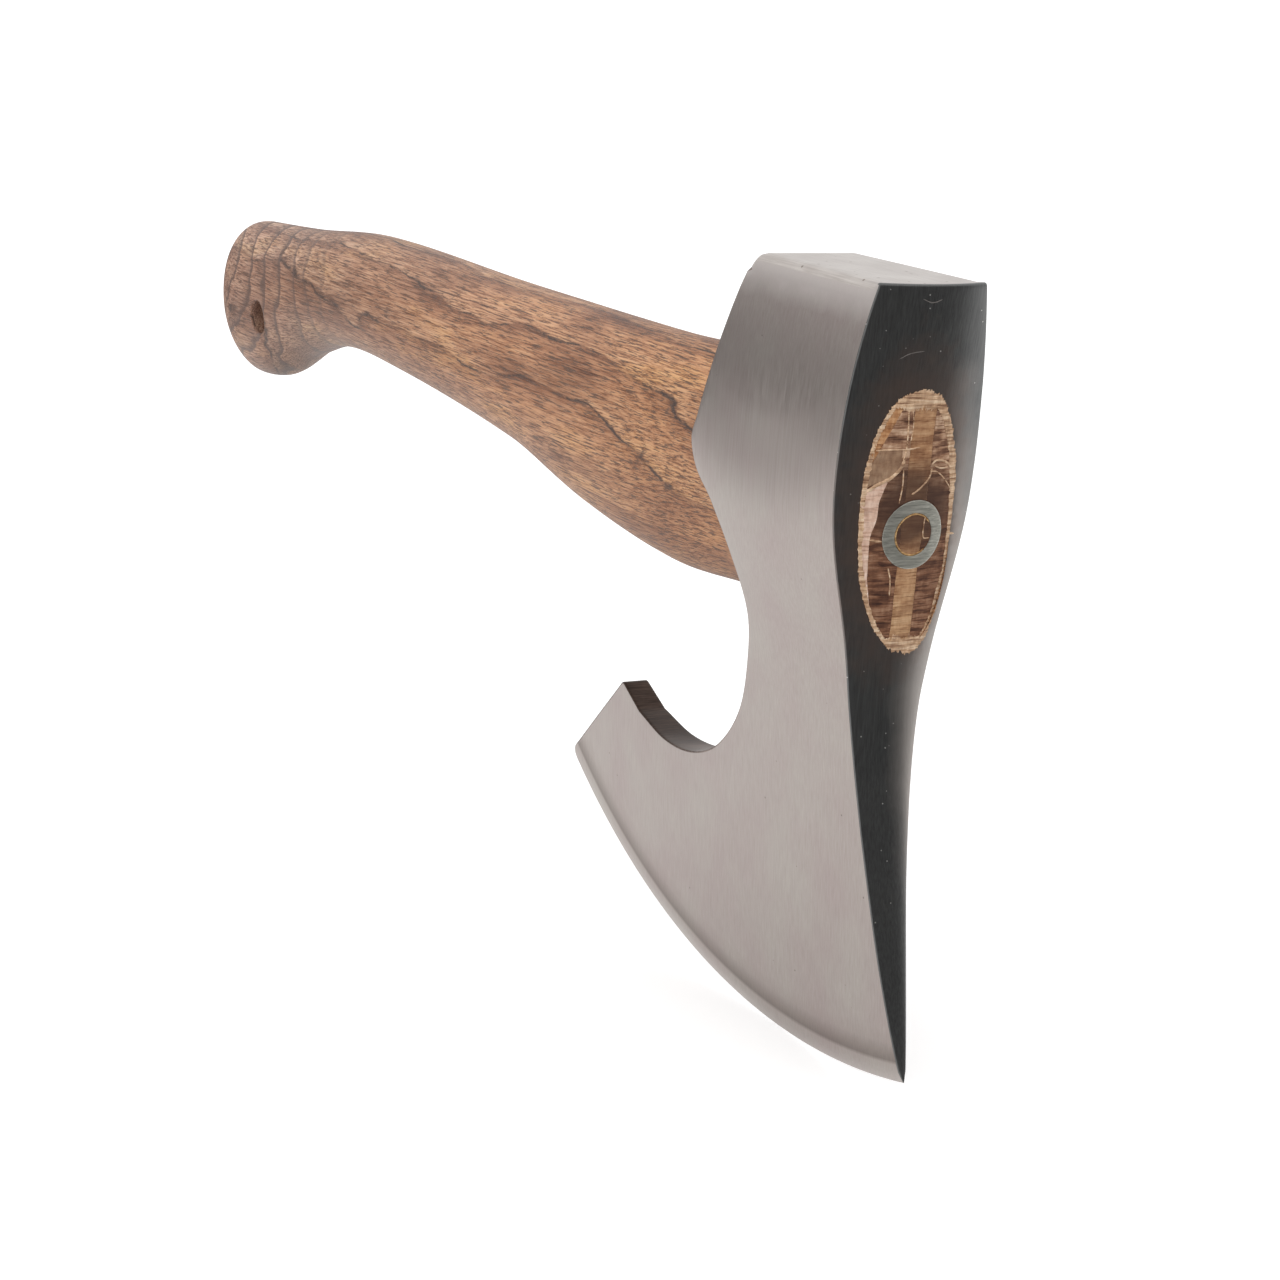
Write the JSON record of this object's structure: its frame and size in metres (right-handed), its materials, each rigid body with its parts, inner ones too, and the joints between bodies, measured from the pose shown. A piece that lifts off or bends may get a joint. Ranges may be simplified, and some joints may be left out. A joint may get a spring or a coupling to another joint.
{
  "type": "hatchet",
  "caption": "Bearded hatchet: forged steel head with a long curved cutting edge, hung on a shaped wooden handle and held by a wooden wedge and a steel ring.",
  "frame": {"origin": "middle of the flat striking face of the poll, in the plane of the blade", "axes": "+X along the handle towards the end of the eye, +Z out of the poll, away from the cutting edge, +Y across the thickness"},
  "size_m": [0.3612, 0.0296, 0.1515],
  "materials": {
    "head_steel": "belt-ground satin, lines running from poll to edge",
    "handle_wood": "oiled open-pored hardwood, red-brown with dark streaks",
    "wedge_wood": "pale sawn end grain",
    "ring_steel": "sanded flush, grey",
    "hardened_glue": "hardened, speckled with sawdust",
    "shim_wood": "torn orange end grain",
    "chip_wood": "smooth brown end grain"
  },
  "bodies": {
    "root": {"axe_head": "head_steel", "handle": "handle_wood", "kerf_wedge": "wedge_wood", "ring_wedge": "ring_steel", "glue_fillet": "hardened_glue", "eye_shim": "shim_wood", "eye_chip": "chip_wood"}
  },
  "joints": []
}
